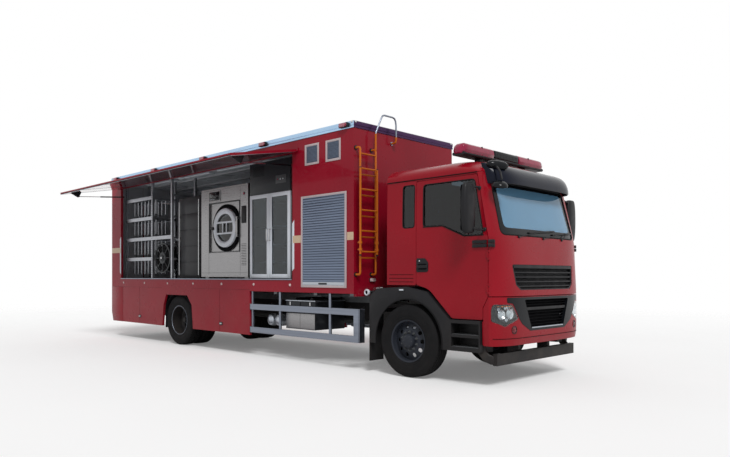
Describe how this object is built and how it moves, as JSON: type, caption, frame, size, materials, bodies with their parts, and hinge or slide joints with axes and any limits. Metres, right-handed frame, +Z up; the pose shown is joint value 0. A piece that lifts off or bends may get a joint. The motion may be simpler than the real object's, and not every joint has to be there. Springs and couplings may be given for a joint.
{
  "type": "mobile laundry truck",
  "caption": "Two-axle rigid truck with a box body whose side opens under a raised flap to show a washer-extractor, a glazed drying cabinet and drying racks.",
  "frame": {"origin": "on the ground under the middle of the bounding box", "axes": "+X forward along the truck, +Y to its left, +Z up"},
  "size_m": [10.41, 4.104, 3.9129],
  "materials": {
    "chassis_black": "semi-gloss chassis black",
    "engine_grey": "cast, painted grey",
    "tank_aluminium": "brushed",
    "guard_aluminium": "anodised",
    "black_plastic": "textured",
    "cab_red": "gloss red",
    "box_red": "gloss red",
    "glass": "tinted",
    "grille_black": "gloss black",
    "lamp_clear": "clear lens",
    "lamp_red": "red lens",
    "seat_fabric": "woven",
    "floor_grey": "floor plate",
    "roof_white": "satin white",
    "trim_aluminium": "satin",
    "shutter_grey": "satin slats",
    "ladder_orange": "gloss orange",
    "rack_aluminium": "anodised",
    "cabinet_grey": "satin grey",
    "stainless": "brushed",
    "strut_black": "gloss black",
    "strut_chrome": "polished",
    "door_white": "satin white",
    "rim_grey": "satin grey",
    "tyre": "rubber"
  },
  "bodies": {
    "truck": {"chassis_frame": "chassis_black", "front_axle": "chassis_black", "rear_axle": "chassis_black", "engine": "engine_grey", "fuel_tank": "tank_aluminium", "battery_box": "tank_aluminium", "side_guards": "guard_aluminium", "mudguards": "black_plastic", "cab_floor": "cab_red", "cab_rear_wall": "cab_red", "cab_sides": "cab_red", "cab_front": "cab_red", "cab_roof": "cab_red", "cab_glass": "glass", "grille": "grille_black", "bumper": "cab_red", "headlamps": "lamp_clear", "visor": "black_plastic", "light_bar": "lamp_red", "seats": "seat_fabric", "dashboard": "black_plastic", "box_floor": "floor_grey", "box_front_wall": "box_red", "box_left_wall": "box_red", "box_right_wall": "box_red", "box_rear_wall": "box_red", "box_roof": "roof_white", "aluminium_trim": "trim_aluminium", "warning_lamps": "lamp_red", "louvres": "shutter_grey", "ladder": "ladder_orange", "racks": "rack_aluminium", "rear_cabinet": "cabinet_grey", "washer": "stainless", "drying_cabinet": "cabinet_grey"},
    "knuckle_right": {"knuckle_right": "chassis_black"},
    "knuckle_left": {"knuckle_left": "chassis_black"},
    "wheel_front_right": {"tyre_front_right": "tyre", "rim_front_right": "rim_grey"},
    "wheel_front_left": {"tyre_front_left": "tyre", "rim_front_left": "rim_grey"},
    "wheels_rear_right": {"tyres_rear_right": "tyre", "rims_rear_right": "rim_grey"},
    "wheels_rear_left": {"tyres_rear_left": "tyre", "rims_rear_left": "rim_grey"},
    "cab_door_right": {"door_right": "cab_red", "door_glass_right": "glass", "door_mirror_right": "black_plastic"},
    "cab_door_left": {"door_left": "cab_red", "door_glass_left": "glass", "door_mirror_left": "black_plastic"},
    "rear_door": {"rear_door": "box_red"},
    "side_flap": {"side_flap": "box_red"},
    "strut_cylinders": {"strut_cylinders": "strut_black"},
    "strut_rods": {"strut_rods": "strut_chrome"},
    "ladder_slide": {"ladder_slide": "ladder_orange"},
    "washer_door": {"washer_door": "door_white"},
    "cabinet_door_rear": {"cabinet_door_rear": "rack_aluminium"},
    "cabinet_door_front": {"cabinet_door_front": "rack_aluminium"},
    "hose_reel": {"hose_reel": "cabinet_grey"}
  },
  "joints": [
    {"name": "steer_right", "type": "hinge", "parent": "truck", "child": "knuckle_right", "pos_m": [3.735, -0.278, 0.51], "axis": [0, 0, 1], "range_deg": [-35, 35]},
    {"name": "steer_left", "type": "hinge", "parent": "truck", "child": "knuckle_left", "pos_m": [3.735, 1.382, 0.51], "axis": [0, 0, 1], "range_deg": [-35, 35]},
    {"name": "wheel_front_right_spin", "type": "hinge", "parent": "knuckle_right", "child": "wheel_front_right", "pos_m": [3.735, -0.492, 0.51], "axis": [0, 1, 0], "continuous": true},
    {"name": "wheel_front_left_spin", "type": "hinge", "parent": "knuckle_left", "child": "wheel_front_left", "pos_m": [3.735, 1.596, 0.51], "axis": [0, 1, 0], "continuous": true},
    {"name": "wheels_rear_right_spin", "type": "hinge", "parent": "truck", "child": "wheels_rear_right", "pos_m": [-2.265, -0.448, 0.51], "axis": [0, 1, 0], "continuous": true},
    {"name": "wheels_rear_left_spin", "type": "hinge", "parent": "truck", "child": "wheels_rear_left", "pos_m": [-2.265, 1.552, 0.51], "axis": [0, 1, 0], "continuous": true},
    {"name": "cab_door_right_swing", "type": "hinge", "parent": "truck", "child": "cab_door_right", "pos_m": [4.997, -0.606, 1.8], "axis": [0, 0, -1], "range_deg": [-70, 0]},
    {"name": "cab_door_left_swing", "type": "hinge", "parent": "truck", "child": "cab_door_left", "pos_m": [4.997, 1.71, 1.8], "axis": [0, 0, 1], "range_deg": [-70, 0]},
    {"name": "rear_door_swing", "type": "hinge", "parent": "truck", "child": "rear_door", "pos_m": [-5.174, 1.005, 2.3], "axis": [0, 0, 1], "range_deg": [-110, 0]},
    {"name": "side_flap_swing", "type": "hinge", "parent": "truck", "child": "side_flap", "pos_m": [-1.665, -0.718, 3.465], "axis": [1, 0, 0], "range_deg": [0, 80]},
    {"name": "strut_swing", "type": "hinge", "parent": "truck", "child": "strut_cylinders", "pos_m": [-1.665, -0.658, 3.257], "axis": [1, 0, 0], "range_deg": [0, 88.99]},
    {"name": "strut_slide", "type": "slide", "parent": "strut_cylinders", "child": "strut_rods", "axis": [0, 0.9974, 0.0715], "range_m": [0, 0.23594]},
    {"name": "ladder_extend", "type": "slide", "parent": "truck", "child": "ladder_slide", "axis": [0, 0, 1], "range_m": [-1.1, 0]},
    {"name": "washer_door_swing", "type": "hinge", "parent": "truck", "child": "washer_door", "pos_m": [-0.388, -0.534, 2.34], "axis": [0, 0, -1], "range_deg": [-100, 0]},
    {"name": "cabinet_door_rear_swing", "type": "hinge", "parent": "truck", "child": "cabinet_door_rear", "pos_m": [0.029, -0.531, 2.1], "axis": [0, 0, 1], "range_deg": [-90, 0]},
    {"name": "cabinet_door_front_swing", "type": "hinge", "parent": "truck", "child": "cabinet_door_front", "pos_m": [1.121, -0.531, 2.1], "axis": [0, 0, -1], "range_deg": [-90, 0]},
    {"name": "hose_reel_spin", "type": "hinge", "parent": "truck", "child": "hose_reel", "pos_m": [-3.06, -0.268, 1.81], "axis": [0, 1, 0], "continuous": true}
  ],
  "couplings": [
    {"joint": "steer_left", "follows": "steer_right", "ratio": 1},
    {"joint": "strut_swing", "follows": "side_flap_swing", "ratio": 1.1123},
    {"joint": "strut_slide", "follows": "side_flap_swing", "m_per_rad": 0.16862}
  ]
}
